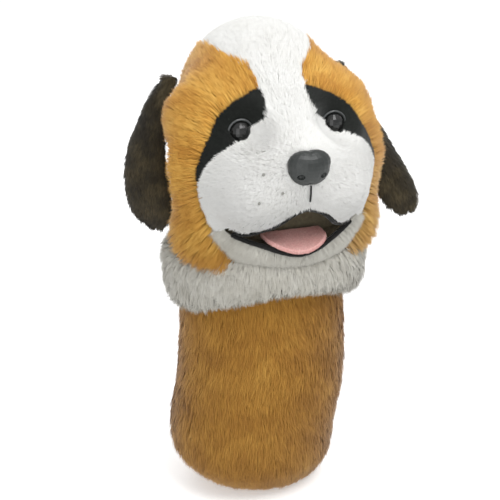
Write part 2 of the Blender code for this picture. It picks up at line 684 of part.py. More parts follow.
def ear_leaf(side, down, share):
    """Points of an ear's middle sheet from its hinge, as on the left, in rows from front to back."""
    x, y, half_width, turn = (column[:, None] for column in smooth_values(EAR_LEAVES[side], down).T)
    turn = np.radians(turn)
    reach = share[None] * half_width
    cupping = 3 * (1 - share[None] ** 2) * np.sin(math.pi * down[:, None])
    drop = -2 - down[:, None] * EAR_LENGTH + np.zeros_like(reach)
    return np.stack([x + reach * np.sin(turn) + cupping * np.cos(turn),
                     y + reach * np.cos(turn) - cupping * np.sin(turn), drop], axis=-1)


def ear_sheet(name, look, side, wall_mm, outward):
    """One layer of a leaf-shaped flap that hangs from its hinge seam, which is the object's origin."""
    sign = 1 if side == "left" else -1
    rows, columns = 18, 9
    leaf = ear_leaf(side, np.linspace(0, 1, rows) ** 0.9, np.linspace(-1, 1, columns)) * (sign, 1, 1)
    work = bmesh.new()
    grid = [[work.verts.new(point * MM) for point in row] for row in leaf]
    for i in range(rows - 1):
        for j in range(columns - 1):
            work.faces.new((grid[i][j], grid[i][j + 1], grid[i + 1][j + 1], grid[i + 1][j]))
    work.normal_update()
    if sum(vertex.normal.x for vertex in work.verts) * sign < 0:
        bmesh.ops.reverse_faces(work, faces=work.faces)
        work.normal_update()
    for vertex in work.verts:
        vertex.co += vertex.normal * (outward * GAP / 2)
    obj = mesh_object(name, work)
    hinge = Vector(EAR_HINGE) * MM
    obj.location = Vector((sign * hinge.x, hinge.y, hinge.z))
    place(obj, look)
    wall = obj.modifiers.new("layer", "SOLIDIFY")
    wall.thickness = wall_mm * MM
    wall.offset = outward


def ears():
    for side in EAR_LEAVES:
        ear_sheet(f"ear_outer_{side}", "brown_plush", side, EAR_WALL, 1)
        ear_sheet(f"ear_lining_{side}", "brown_lining", side, EAR_LINING_WALL, -1)


def head():
    holes = {"patch": [], "muzzle": [], "chin": [], "neck": [], "stuffing": []}
    neck_profile = [(0, NECK_HOLE_TOP), (NECK_HOLE, NECK_HOLE_TOP), (NECK_HOLE, 120), (0, 120)]
    holes["neck"].append(as_cutter(turned("neck_hole", neck_profile)))
    for sign in (1, -1):
        eye(sign, holes)
    nose(holes)
    mouth(holes)
    holes["chin"] += holes["neck"]
    half_width, half_depth = (side / 2 + GAP / MM for side in POCKET_SIZE[:2])
    pocket_top = POCKET_FLOOR + POCKET_SIZE[2] + GAP / MM
    holes["stuffing"].append(as_cutter(box("pocket_void", (-half_width, -half_depth, 100),
                                           (half_width, half_depth, pocket_top))))
    outer = as_cutter(head_form("head_outside", 0, *FORM_MESH))
    inner = as_cutter(head_form("head_inside", PANEL_WALL, *FORM_MESH))
    stuffed = as_cutter(head_form("head_stuffed", PANEL_WALL + STUFFING_CLEARANCE, *FORM_MESH))
    panels(outer, inner, holes)
    filling(stuffed, holes)
    pocket()
    tongue()
    stitches()
    ears()


clear_scene()
parts = new_collection(NAME)
cutters = new_collection(f"{NAME}_cutters")
root = bpy.data.objects.new("cover_root", None)
root.location = Vector(SOCK_AXIS) * MM
parts.objects.link(root)
sleeve()
neck_band()
head()
ruff(as_cutter(head_form("ruff_clearance", -4 * GAP / MM, *FORM_MESH)))
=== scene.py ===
"""The looks of a plush dog head cover for a golf driver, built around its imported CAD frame.

Lengths are in millimetres from the foot of the sock's axis, the dog facing -Y, until a mesh is made.
"""

import itertools
import json
import math

import bpy
import numpy as np
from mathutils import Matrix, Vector
from mathutils.kdtree import KDTree

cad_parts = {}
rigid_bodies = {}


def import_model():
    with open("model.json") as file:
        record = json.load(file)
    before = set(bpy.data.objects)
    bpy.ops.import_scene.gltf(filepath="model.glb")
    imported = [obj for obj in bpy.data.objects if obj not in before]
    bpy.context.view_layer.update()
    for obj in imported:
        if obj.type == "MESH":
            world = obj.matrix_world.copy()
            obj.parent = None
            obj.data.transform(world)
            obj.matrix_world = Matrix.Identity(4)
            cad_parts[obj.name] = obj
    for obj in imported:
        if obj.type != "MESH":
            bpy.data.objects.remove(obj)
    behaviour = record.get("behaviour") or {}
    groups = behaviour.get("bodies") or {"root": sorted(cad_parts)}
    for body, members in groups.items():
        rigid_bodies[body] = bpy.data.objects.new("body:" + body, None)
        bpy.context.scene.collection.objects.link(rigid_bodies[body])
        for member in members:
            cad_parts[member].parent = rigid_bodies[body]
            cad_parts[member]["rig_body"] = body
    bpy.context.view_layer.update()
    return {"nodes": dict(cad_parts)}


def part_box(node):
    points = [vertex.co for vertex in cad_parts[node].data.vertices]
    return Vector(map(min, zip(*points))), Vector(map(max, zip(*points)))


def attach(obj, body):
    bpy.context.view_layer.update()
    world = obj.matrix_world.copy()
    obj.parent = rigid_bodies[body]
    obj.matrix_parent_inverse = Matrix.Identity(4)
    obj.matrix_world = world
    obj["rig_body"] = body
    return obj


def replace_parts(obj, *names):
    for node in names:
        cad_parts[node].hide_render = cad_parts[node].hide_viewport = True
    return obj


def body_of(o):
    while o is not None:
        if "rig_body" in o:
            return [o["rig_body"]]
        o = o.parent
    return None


MM = 0.001
PIECE_FACES = 190000  # most faces in one piece of pile
STRAND_UV = "OFBake"  # u is a strand's shade, v runs from its root to its tip

# --- The forms under the pile, as in the CAD ---------------------------------------------------

SIDE_RATIO = 0.9  # depth over width of the sock and the ruff
SOCK_OUTLINE = [(40, 0.5), (50, 8), (59, 22), (65, 42), (66, 90), (63, 150), (59, 174), (53.5, 196)]
SOCK_INSET = 5.5
SOCK_SAG = 8  # how far it slumps towards the dog's right near the hem
SOCK_SAG_HEIGHT = 52
SOCK_SAG_SPREAD = 34
LINING_INSET = 8.9
LINING_ENDS = (14.5, 187)
HEM_CLEARANCE = 0.6
# how thick each cloth is
PANEL_CLOTH = 1.2
SOCK_CLOTH = 1.5
LINING_CLOTH = 1.0
RUFF_CENTRE = (0, -4, 187)
RUFF_RADIUS = 63
RUFF_HALF_WALL = 8
RUFF_RISE = (9, 20)  # at the sides and in front
RUFF_DROP = (23, 5)
HEAD_MIDDLE = np.array((0, -14, 262))
# ellipsoids: centre, radii and how far each blends into those before it
HEAD_FORM = [((0, 13, 298), (58, 54, 61), 0), ((0, 7, 250), (67, 48, 60), 18),
             ((35, -13, 293), (43, 32, 35), 16), ((0, -33, 264), (80, 33, 50), 18),
             ((0, -28, 225), (75, 40, 45), 16), ((0, -42, 262), (60, 50, 46), 12),
             ((25, -58, 251), (30, 34, 24), 8), ((0, -40, 212), (46, 38, 21), 10)]
SOCKET = ((34, -68, 300), (17, 20, 15), 10)
NOSE_PLACE = np.array((0, -89, 275))
NOSE_HALF = (14.75, 9, 11.5)
EYE_PLACE = (34.5, -48, 292.5)
EYE_RADIUS = 7.8
NECK_HOLE = 52
NECK_HOLE_TOP = 212
BACK_SEAM = 32
MOUTH_BACK = -45
FACE_BACK = -30  # how far back the pile keeps clear of the eyes and the nose
EAR_HINGE = (71, 15, 319)
EAR_LENGTH = 113
EAR_TUCK = np.array((-7, 1, 3))
EAR_TUCKED_SHARE = 0.16  # how far down it is drawn in under the cheek's pile
# down each ear from 0 to 1: its middle's offset from the hinge (x, y), half its width, its turn from +Y to +X
EAR_LEAVES = {
    "left": [(0, 0, -2, 5, 35), (0.12, 4, 0, 8, 40), (0.25, 8.5, 2, 11.5, 48), (0.5, 21, -2, 15.5, 66),
             (0.68, 30, -7, 16.5, 78), (0.82, 38, -11, 15.5, 84), (0.93, 44, -13, 12.5, 86),
             (1, 47, -14, 5, 86)],
    "right": [(0, 0, -2, 5, 30), (0.12, 2.5, 1, 7, 33), (0.25, 5, 5, 10, 40), (0.5, 9.5, 10, 14, 50),
              (0.68, 8.5, 12, 16.5, 53), (0.82, 6, 14, 16, 54), (0.93, 3, 15.5, 12.5, 54),
              (1, 0.5, 17, 4, 54)],
}
# each cloth of an ear: its name, look and slot, where it starts and ends off the middle sheet, its pile
EAR_LAYERS = [("outer", "ear", "brown_plush", (0.3, 2.8), 13000, 7.0),
              ("lining", "ear_lining", "brown_lining", (-0.3, -1.6), 8000, 4.5)]
SIDES = {"left": 1, "right": -1}

CAMERA_TARGET = np.array((-8.5, 3.1, 186))

# Seams in front view (x, z), the left half of each
PATCH_SEAM = [(15, 319.5), (14.4, 313.5), (15.3, 307), (18.5, 301), (24.7, 296.2), (32.8, 290.8), (40, 287.2),
              (49.5, 284.8), (57, 277.8), (62.7, 269), (65.8, 258), (66.8, 267), (63.8, 276), (57.4, 289),
              (50.2, 300.6), (41.7, 308.3), (31.2, 314.2), (22.5, 318)]
CROWN_SEAM = [(26, 301), (21, 311), (15.3, 320), (17, 325.5), (22, 331), (30, 335.5), (38, 341), (52, 344),
              (120, 345), (120, 420)]
MUZZLE_SEAM = [(30, 304), (48, 292), (61, 277), (65.5, 264), (65.9, 257), (64.4, 247), (61, 235.8),
               (56.8, 226), (48.5, 227.5), (39, 224.2), (34, 221)]
CHIN_SEAM = [(57, 232), (56.8, 226), (52, 217), (45, 208), (36, 198), (30, 170)]
MOUTH_EDGE = [(0, 247.5), (8, 245.2), (14.5, 241.8), (22, 235), (27, 230.5), (33, 227), (39, 225.8),
              (45, 228.8), (49, 229.8), (51, 226), (46, 221.4), (36, 216.8), (26, 213.8), (14, 209.5),
              (0, 206.5)]


# --- Small tools -------------------------------------------------------------------------------

LATTICE = 24  # mottle repeats after this many lumps


def unit(vectors):
    return vectors / np.maximum(np.linalg.norm(vectors, axis=-1, keepdims=True), 1e-9)


def across(vectors, normals):
    """What is left of each vector in the plane square to its normal, at length one."""
    return unit(vectors - normals * np.sum(vectors * normals, axis=-1, keepdims=True))


def step(values, low, high):
    """0 below low, 1 above high, smooth between."""
    share = np.clip((values - low) / (high - low), 0, 1)
    return share * share * (3 - 2 * share)


def mottle(points, size, seed):
    """Smooth random values from 0 to 1 through space, in lumps of that size."""
    lattice = np.random.default_rng(seed).random((LATTICE,) * 3)
    cell = points / size
    low = np.floor(cell).astype(int)
    share = step(cell - low, 0, 1)
    total = np.zeros(len(points))
    for corner in itertools.product((0, 1), repeat=3):
        weight = np.prod(np.where(corner, share, 1 - share), axis=1)
        i, j, k = ((low + corner) % LATTICE).T
        total += weight * lattice[i, j, k]
    return total


def mirrored_loop(half):
    """A closed outline from its left half."""
    return np.array(half + [(-x, z) for x, z in reversed(half) if x], float)


def rounded(loop, times=2):
    """A closed outline with its corners cut."""
    for _ in range(times):
        following = np.roll(loop, -1, axis=0)
        cut = [0.75 * loop + 0.25 * following, 0.25 * loop + 0.75 * following]
        loop = np.stack(cut, axis=1).reshape(-1, 2)
    return loop


def inside(loop, points):
    """Which points lie inside a closed outline in front view."""
    x, z = points[..., 0], points[..., 2]
    found = np.zeros(x.shape, bool)
    for (x1, z1), (x2, z2) in zip(loop, np.roll(loop, -1, axis=0)):
        if z1 != z2:
            found ^= ((z1 > z) != (z2 > z)) & (x < x1 + (z - z1) * (x2 - x1) / (z2 - z1))
    return found


# --- Meshes ------------------------------------------------------------------------------------


def mesh_object(name, points, faces, material, normals=None, uv=None):
    """A smooth mesh object from points in millimetres and faces that all have the same number of corners."""
    mesh = bpy.data.meshes.new(name)
    corners = faces.shape[1]
    mesh.vertices.add(len(points))
    mesh.vertices.foreach_set("co", ((points + AXIS) * MM).astype(np.float32).ravel())
    mesh.loops.add(faces.size)
    mesh.loops.foreach_set("vertex_index", faces.astype(np.int32).ravel())
    mesh.polygons.add(len(faces))
    mesh.polygons.foreach_set("loop_start", np.arange(0, faces.size, corners, dtype=np.int32))
    if uv is not None:
        layer = mesh.uv_layers.new(name=STRAND_UV)
        layer.data.foreach_set("uv", uv[faces.ravel()].astype(np.float32).ravel())
    mesh.update(calc_edges=True)
    if normals is not None:
        mesh.normals_split_custom_set_from_vertices(normals.tolist())
    mesh.materials.append(material)
    obj = bpy.data.objects.new(name, mesh)
    bpy.context.scene.collection.objects.link(obj)
    return obj


def grid_faces(rows, columns, wrap):
    """Quads of a grid of points in rows; wrap joins the last column to the first."""
    last = columns if wrap else columns - 1
    row, column = np.meshgrid(np.arange(rows - 1), np.arange(last), indexing="ij")
    row, column = row.ravel(), column.ravel()
    following = (column + 1) % columns
    return np.stack([row * columns + column, row * columns + following,
                     (row + 1) * columns + following, (row + 1) * columns + column], axis=1)


def closed_grid_faces(rows, columns):
    """Quads of a grid of points whose rows and columns both close into rings."""
    place = np.arange(rows * columns).reshape(rows, columns)
    after = np.roll(place, -1, axis=0)
    corners = [place, np.roll(place, -1, axis=1), np.roll(after, -1, axis=1), after]
    return np.stack(corners, axis=-1).reshape(-1, 4)


def used_part(points, normals, faces):
    """The points that the faces use with their normals, and the faces numbered to match."""
    used, renumbered = np.unique(faces, return_inverse=True)
    return points[used], normals[used], renumbered.reshape(faces.shape)


def mesh_normals(points, faces):
    """Normals at the points of a quad mesh, from its faces."""
    a, b, c, d = (points[faces[:, i]] for i in range(4))
    facing = np.cross(c - a, d - b)
    total = np.zeros_like(points)
    for i in range(4):
        np.add.at(total, faces[:, i], facing)
    return unit(total)


def cloth_wall(obj, thickness):
    """Gives a skin its cloth's thickness, inwards."""
    wall = obj.modifiers.new("cloth", "SOLIDIFY")
    wall.thickness = thickness * MM
    wall.offset = -1


# --- Pile --------------------------------------------------------------------------------------

HEADING_SPREAD = 0.22
LENGTH_RANGE = (0.72, 1.15)
ANGLE_SPREAD = 7
TUFT_SHADE = 0.16
STRAND_SHADE = 0.10
ROLL_SPREAD = 0.45
WIDTH_RANGE = (0.7, 1.3)
NORMAL_LEAN = 0.25  # how far a strand's tip is lit along its own direction


def scattered(points, normals, faces, count, rng):
    """Random places on a quad mesh, even by area, with their normals."""
    corners = points[faces]
    area = np.linalg.norm(np.cross(corners[:, 2] - corners[:, 0], corners[:, 3] - corners[:, 1]), axis=1)
    chosen = rng.choice(len(faces), count, p=area / area.sum())
    u, v = rng.random((2, count, 1))
    weights = [(1 - u) * (1 - v), u * (1 - v), u * v, (1 - u) * v]
    place = sum(w * corners[chosen, i] for i, w in enumerate(weights))
    normal = sum(w * normals[faces[chosen, i]] for i, w in enumerate(weights))
    return place, unit(normal)


def strand_paths(roots, normals, comb, length, lift, fall, levels):
    """Points of each strand from root to tip, its angle to the skin going from lift to fall."""
    path = [roots]
    for level in range(levels):
        angle = np.radians(lift + (fall - lift) * (level + 0.5) / levels)[:, None]
        heading = normals * np.sin(angle) + comb * np.cos(angle)
        path.append(path[-1] + heading * (length / levels)[:, None])
    return np.stack(path, axis=1)


def gathered(paths, spacing_share, pull, rng):
    """Strands drawn towards the nearest of a few leading ones, most at their tips, and each one's leader."""
    leaders = rng.choice(len(paths), max(2, int(len(paths) * spacing_share)), replace=False)
    tree = KDTree(len(leaders))
    for i, leader in enumerate(leaders):
        tree.insert(paths[leader, 0], i)
    tree.balance()
    own = np.array([tree.find(root)[1] for root in paths[:, 0]])
    along = np.linspace(0, 1, paths.shape[1])[None, :, None] ** 1.4
    strength = (pull * rng.uniform(0.5, 1.2, len(paths)))[:, None, None]
    return paths + (paths[leaders][own] - paths) * along * strength, own


def pile(name, skin, look, slot, rng, count, length, lift, comb, width=0.5, levels=2, gather=(0.03, 0.5),
         fall=0.25, body="cover", ground=None, shade_size=14, shade_range=0.35):
    """Strands of pile on a skin, as one or more pieces of flat tapering ribbons.

    comb gives their direction, and fall the share of their lift that they keep at their tips.
    length and lift are numbers or functions of the strands' roots.
    """
    roots, normals = scattered(*skin, count, rng)
    heading = across(comb(roots, normals) + rng.normal(0, HEADING_SPREAD, roots.shape), normals)
    reach = length(roots) if callable(length) else np.full(count, float(length))
    reach = reach * rng.uniform(*LENGTH_RANGE, count)
    raised = lift(roots) if callable(lift) else np.full(count, float(lift))
    angle = np.clip(rng.normal(raised, ANGLE_SPREAD), 4, 88)
    paths = strand_paths(roots, normals, heading, reach, angle, fall * raised, levels)
    paths, own = gathered(paths, *gather, rng)
    if ground is not None:
        paths[..., 2] = np.maximum(paths[..., 2], ground + 0.4 * rng.random(count)[:, None])
    tuft = rng.random(own.max() + 1)[own]
    patches = shade_range * (mottle(roots, shade_size, 7) * 2 - 1)
    shade = 0.5 + patches + TUFT_SHADE * (tuft * 2 - 1) + rng.normal(0, STRAND_SHADE, count)
    shade = np.clip(shade, 0.02, 0.98)
    most = PIECE_FACES // (2 * levels - 1)
    for number, start in enumerate(range(0, count, most), 1):
        part = slice(start, start + most)
        piece_name = name if count <= most else f"{name}_{number}"
        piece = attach(ribbons(piece_name, paths[part], normals[part], shade[part], width, look, rng), body)


def ribbons(name, paths, normals, shade, width, look, rng):
    """One mesh of flat tapering ribbons along the paths, lit as the skin under them is."""
    count, levels = paths.shape[0], paths.shape[1] - 1
    heading = unit(paths[:, -1] - paths[:, 0])
    side = unit(np.cross(heading, normals) + 1e-6)
    roll = rng.normal(0, ROLL_SPREAD, (count, 1))
    side = unit(side * np.cos(roll) + np.cross(heading, side) * np.sin(roll))
    share = np.arange(levels) / levels
    half = width / 2 * rng.uniform(*WIDTH_RANGE, (count, 1)) * (1 - share ** 2 * 0.75)[None, :]
    left = paths[:, :-1] - side[:, None] * half[..., None]
    right = paths[:, :-1] + side[:, None] * half[..., None]
    points = np.concatenate([left, right, paths[:, -1:]], axis=1)
    per = 2 * levels + 1
    faces = []
    for i in range(levels - 1):
        faces += [(i, levels + i, levels + i + 1), (i, levels + i + 1, i + 1)]
    faces.append((levels - 1, 2 * levels - 1, 2 * levels))
    faces = (np.array(faces)[None] + per * np.arange(count)[:, None, None]).reshape(-1, 3)
    lean = np.concatenate([share, share, [1.0]])[None, :, None]
    lit = unit(normals[:, None] * (1 - NORMAL_LEAN * lean) + heading[:, None] * NORMAL_LEAN * lean)
    facing = np.cross(right[:, 0] - left[:, 0], heading)
    turned = np.sum(facing * normals, axis=1) < 0
    faces = faces.reshape(count, -1, 3)
    faces[turned] = faces[turned][..., ::-1]
    along = np.concatenate([share, share, [1.0]])
    aside = np.concatenate([np.full(levels, -0.012), np.full(levels, 0.012), [0.0]])
    uv = np.stack(np.broadcast_arrays(shade[:, None] + aside[None], along[None]), axis=-1)
    return mesh_object(name, points.reshape(-1, 3), faces.reshape(-1, 3), look,
                       lit.reshape(-1, 3), uv.reshape(-1, 2))


# --- Materials ---------------------------------------------------------------------------------


def new_material(name, roughness, **settings):
    """A material, its shader, and a way to add a linked node."""
    material = bpy.data.materials.new(name)
    material.use_nodes = True
    tree = material.node_tree
    shader = tree.nodes["Principled BSDF"]
    shader.inputs["Roughness"].default_value = roughness
    for socket, value in settings.items():
        shader.inputs[socket.replace("_", " ")].default_value = value
    return material, tree, shader


def ramp(tree, source, stops):
    """A colour ramp over a value, from (place, colour) stops."""
    node = tree.nodes.new("ShaderNodeValToRGB")
    elements = node.color_ramp.elements
    while len(elements) < len(stops):
        elements.new(0.5)
    for element, (place, colour) in zip(elements, stops):
        element.position = place
        element.color = (*colour, 1)
    tree.links.new(source, node.inputs["Fac"])
    return node.outputs["Color"]


def multiplied(tree, first, second):
    """The product of two colours."""
    node = tree.nodes.new("ShaderNodeMix")
    node.data_type = "RGBA"
    node.blend_type = "MULTIPLY"
    node.inputs["Factor"].default_value = 1
    tree.links.new(first, node.inputs["A"])
    tree.links.new(second, node.inputs["B"])
    return node.outputs["Result"]


def pile_material(name, shades, root=0.6, roughness=0.8, sheen=0.25):
    """Pile whose strands differ in shade and are darker at their roots, as painted shade deep in the pile."""
    material, tree, shader = new_material(name, roughness, Sheen_Weight=sheen, Sheen_Roughness=0.5,
                                          Specular_IOR_Level=0.25)
    place = tree.nodes.new("ShaderNodeUVMap")
    place.uv_map = STRAND_UV
    split = tree.nodes.new("ShaderNodeSeparateXYZ")
    tree.links.new(place.outputs["UV"], split.inputs["Vector"])
    places = np.linspace(0.05, 0.95, len(shades))
    shade = ramp(tree, split.outputs["X"], list(zip(places, shades)))
    # darker towards the roots: painted shade deep in the pile
    depth = ramp(tree, split.outputs["Y"], [(0.0, (root,) * 3), (0.55, (1, 1, 1))])
    tree.links.new(multiplied(tree, shade, depth), shader.inputs["Base Color"])
    return material


def noise(tree, scale, detail=3.0):
    """Noise through the object's own space, in lumps per metre."""
    place = tree.nodes.new("ShaderNodeTexCoord")
    node = tree.nodes.new("ShaderNodeTexNoise")
    node.inputs["Scale"].default_value = scale
    node.inputs["Detail"].default_value = detail
    tree.links.new(place.outputs["Object"], node.inputs["Vector"])
    return node.outputs["Fac"]


def add_bump(tree, shader, height, strength, distance_mm):
    bump = tree.nodes.new("ShaderNodeBump")
    bump.inputs["Strength"].default_value = strength
    bump.inputs["Distance"].default_value = distance_mm * MM
    tree.links.new(height, bump.inputs["Height"])
    tree.links.new(bump.outputs["Normal"], shader.inputs["Normal"])


def mottled_material(name, dark, light, scale, roughness, bump=0.0, bump_mm=0.2, **settings):
    """A surface whose colour wanders between two shades, with a fine bump."""
    material, tree, shader = new_material(name, roughness, **settings)
    field = noise(tree, scale)
    tree.links.new(ramp(tree, field, [(0.3, dark), (0.7, light)]), shader.inputs["Base Color"])
    if bump:
        add_bump(tree, shader, noise(tree, scale * 1.7, 2.0), bump, bump_mm)
    return material


# --- The head ----------------------------------------------------------------------------------

HEAD_REACH = 130.0  # farther from its middle than any of its surface
HEAD_SEGMENTS, HEAD_RINGS = 340, 210
POLE_GAP = 0.004
INSET_SMOOTHINGS = 6


def smooth_min(a, b, blend):
    """The lesser of two distances, rounded over where they are within a blend of each other."""
    share = np.clip(0.5 + 0.5 * (b - a) / blend, 0, 1)
    return b * (1 - share) + a * share - blend * share * (1 - share)


def ellipsoid_distance(points, centre, radii):
    """About how far points lie outside an ellipsoid."""
    scaled = (points - np.array(centre)) / np.array(radii)
    reach = np.linalg.norm(scaled, axis=-1)
    slope = np.linalg.norm(scaled / np.array(radii), axis=-1)
    return reach * (reach - 1) / np.maximum(slope, 1e-9)


def head_distance(points):
    """How far points lie outside the head's form."""
    points = np.concatenate([np.abs(points[..., :1]), points[..., 1:]], axis=-1)
    found = None
    for centre, radii, blend in HEAD_FORM:
        distance = ellipsoid_distance(points, centre, radii)
        found = distance if found is None else smooth_min(found, distance, blend)
    centre, radii, blend = SOCKET
    return -smooth_min(-found, ellipsoid_distance(points, centre, radii), blend)


def on_head(directions):
    """Where unit directions from the head's middle meet its form."""
    near, far = np.zeros(len(directions)), np.full(len(directions), HEAD_REACH)
    for _ in range(22):
        middle = (near + far) / 2
        outside = head_distance(HEAD_MIDDLE + directions * middle[:, None]) > 0
        far = np.where(outside, middle, far)
        near = np.where(outside, near, middle)
    return HEAD_MIDDLE + directions * far[:, None]


def head_normals(points):
    """Normals of the head's form at points on it, from its slope there."""
    slopes = [head_distance(points + offset) - head_distance(points - offset) for offset in np.eye(3) * 0.5]
    return unit(np.stack(slopes, axis=-1))


def head_grid():
    """Points and quads of the head's form, its poles on the muzzle and the back of the head."""
    segments, rings = HEAD_SEGMENTS, HEAD_RINGS
    tilt = np.linspace(POLE_GAP, math.pi - POLE_GAP, rings)[:, None]
    turn = np.linspace(0, 2 * math.pi, segments, endpoint=False)[None]
    directions = np.stack([np.sin(tilt) * np.cos(turn), -np.cos(tilt) * np.ones_like(turn),
                           np.sin(tilt) * np.sin(turn)], axis=-1).reshape(-1, 3)
    return on_head(directions), grid_faces(rings, segments, wrap=True)


SEAMS = {"patch_left": rounded(np.array(PATCH_SEAM, float)),
         "patch_right": rounded(np.array(PATCH_SEAM, float)) * (-1, 1),
         "crown": rounded(mirrored_loop(list(reversed(CROWN_SEAM))), 1),
         "muzzle": rounded(mirrored_loop(MUZZLE_SEAM), 1),
         "chin": rounded(mirrored_loop(CHIN_SEAM), 1)}
SEAM_BACKS = {"patch_left": -26, "patch_right": -26, "crown": BACK_SEAM, "muzzle": -26, "chin": -34}
SNAP_FRONT = -18
SNAP_WITHIN = 0.75
MOUTH_LOOP = rounded(mirrored_loop(MOUTH_EDGE), 1)
# each panel: inset of its skin below the CAD's surface, and the number, length and lift of its strands
HEAD_PILE = {
    "crown": {"inset": 3.0, "count": 30000, "length": 7.0, "lift": 34},
    "muzzle": {"inset": 1.8, "count": 60000, "length": 3.8, "lift": 46},
    "patch_left": {"inset": 1.8, "count": 10000, "length": 4.0, "lift": 36},
    "patch_right": {"inset": 1.8, "count": 10000, "length": 4.0, "lift": 36},
    "chin": {"inset": 3.0, "count": 20000, "length": 8.5, "lift": 42},
    "cheek_left": {"inset": 6.0, "count": 34000, "length": 12.5, "lift": 36},
    "cheek_right": {"inset": 6.0, "count": 34000, "length": 12.5, "lift": 36},
    "back": {"inset": 5.5, "count": 20000, "length": 13.0, "lift": 32},
}
SLOTS = {"crown": "white_plush", "muzzle": "white_plush", "patch": "black_plush", "chin": "chin_plush",
         "cheek": "tan_pile", "back": "tan_pile"}
LONG_PILE = {"width": 0.62, "levels": 3, "gather": (0.03, 0.5), "fall": 0.4, "shade_range": 0.35}
SHORT_PILE = {"width": 0.42, "levels": 2, "gather": (0.1, 0.35), "fall": 0.5, "shade_range": 0.2}
PANEL_PILE = {"cheek": LONG_PILE, "back": LONG_PILE, "chin": {**SHORT_PILE, "fall": 0.4}}


def head_zones(points):
    """The name of the panel that each point is on, or an empty name in the mouth and the neck."""
    zone = np.where(points[:, 0] > 0, "cheek_left", "cheek_right").astype("<U12")
    zone[points[:, 1] > BACK_SEAM] = "back"
    for name in ("chin", "muzzle", "crown", "patch_right", "patch_left"):
        zone[inside(SEAMS[name], points) & (points[:, 1] < SEAM_BACKS[name])] = name
    zone[inside(MOUTH_LOOP, points) & (points[:, 1] < MOUTH_BACK)] = ""
    zone[(np.hypot(points[:, 0], points[:, 1]) < NECK_HOLE) & (points[:, 2] < NECK_HOLE_TOP)] = ""
    return zone


def snapped(points):
    """The points, with those close to a seam moved onto it."""
    loops = [*SEAMS.values(), MOUTH_LOOP]
    starts = np.concatenate(loops)
    ends = np.concatenate([np.roll(loop, -1, axis=0) for loop in loops])
    front = np.flatnonzero(points[:, 1] < SNAP_FRONT)
    for _ in range(2):
        flat = points[front][:, [0, 2]]
        best = np.full(len(front), 1e9)
        target = flat.copy()
        for start, end in zip(starts, ends):
            line = end - start
            share = np.clip((flat - start) @ line / max(line @ line, 1e-9), 0, 1)
            nearest = start + share[:, None] * line
            distance = np.linalg.norm(flat - nearest, axis=1)
            closer = distance < best
            best[closer] = distance[closer]
            target[closer] = nearest[closer]
        near = best < SNAP_WITHIN
        moved = points[front[near]].copy()
        moved[:, [0, 2]] = target[near]
        points[front[near]] = on_head(unit(moved - HEAD_MIDDLE))
    return points


def face_comb(roots, normals):
    """Away from the nose, and down the back of the head."""
    away = unit(roots - (NOSE_PLACE + (0, 10, 0)))
    behind = step(roots[:, 1], 5, 55)[:, None]
    return away * (1 - behind) + np.array((0, 0.1, -1.0)) * behind


def cheek_comb(roots, normals):
    """Outwards from the face and swept back, then down."""
    away = unit((roots - (0, -70, 268)) * (1.0, 0.7, 1.0))
    behind = step(roots[:, 1], 5, 55)[:, None]
    low = step(-roots[:, 2], -262, -215)[:, None]
    swept = away + (0, 0.35, 0) + np.array((0, 0, -0.5)) * low
    return swept * (1 - behind) + np.array((0, 0.1, -1.0)) * behind


def clear_of_features(points):
    """Whether places on the face are clear of the eyes and the nose."""
    x, y, z = points.T
    eye = np.hypot(np.abs(x) - EYE_PLACE[0], z - EYE_PLACE[2]) > EYE_RADIUS - 0.5
    nose = (np.abs(x) / (NOSE_HALF[0] - 1)) ** 2 + ((z - NOSE_PLACE[2]) / (NOSE_HALF[2] - 1)) ** 2 > 1
    return (eye & nose) | (y > FACE_BACK)


def longer_below(length):
    """A length of pile that grows towards the jaw."""
    return lambda roots: length * (1 + 0.6 * step(-roots[:, 2], -240, -210))


def fuller_below(lift):
    """A lift of pile that grows towards the jaw, so that the cheeks bush out there."""
    return lambda roots: lift + 30 * step(-roots[:, 2], -262, -222)


def smoothed_insets(faces, face_zone):
    """How far each point of the head's grid sinks, with the steps between panels smoothed out."""
    inset = np.zeros(HEAD_RINGS * HEAD_SEGMENTS)
    for name, facts in HEAD_PILE.items():
        inset[faces[face_zone == name].ravel()] = facts["inset"]
    inset = inset.reshape(HEAD_RINGS, HEAD_SEGMENTS)
    for _ in range(INSET_SMOOTHINGS):
        inset = (inset + np.roll(inset, 1, 1) + np.roll(inset, -1, 1)) / 3
        inset[1:-1] = (inset[:-2] + inset[1:-1] + inset[2:]) / 3
    return inset.reshape(-1, 1)


def head_panel(name, points, normals, faces, looks, rng):
    """The skin of one panel of the head, and the pile on it."""
    facts = HEAD_PILE[name]
    kind = name.split("_")[0]
    slot = SLOTS[kind]
    node = f"eye_{name}" if kind == "patch" else name.replace(kind, f"{kind}_panel")
    skin = mesh_object(f"{name}_skin", points, faces[:, ::-1], looks[f"{kind}_skin"])
    cloth_wall(skin, PANEL_CLOTH)
    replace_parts(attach(skin, "cover"), node)
    hairy = faces[clear_of_features(points[faces].mean(axis=1))]
    length, lift, comb = facts["length"], facts["lift"], face_comb
    if kind in ("cheek", "back"):
        length, lift, comb = longer_below(length), fuller_below(lift), cheek_comb
    pile(f"{name}_pile", (points, normals, hairy), looks[f"{kind}_pile"], slot, rng, facts["count"],
         length, lift, comb, **PANEL_PILE.get(kind, SHORT_PILE))


def head(looks, rng):
    """Every panel of the head, as its skin and its pile."""
    points, faces = head_grid()
    points = snapped(points)
    normals = head_normals(points)
    face_zone = head_zones(points[faces].mean(axis=1))
    points = points - normals * smoothed_insets(faces, face_zone)
    for name in HEAD_PILE:
        head_panel(name, *used_part(points, normals, faces[face_zone == name]), looks, rng)


# --- Sock and ruff -----------------------------------------------------------------------------

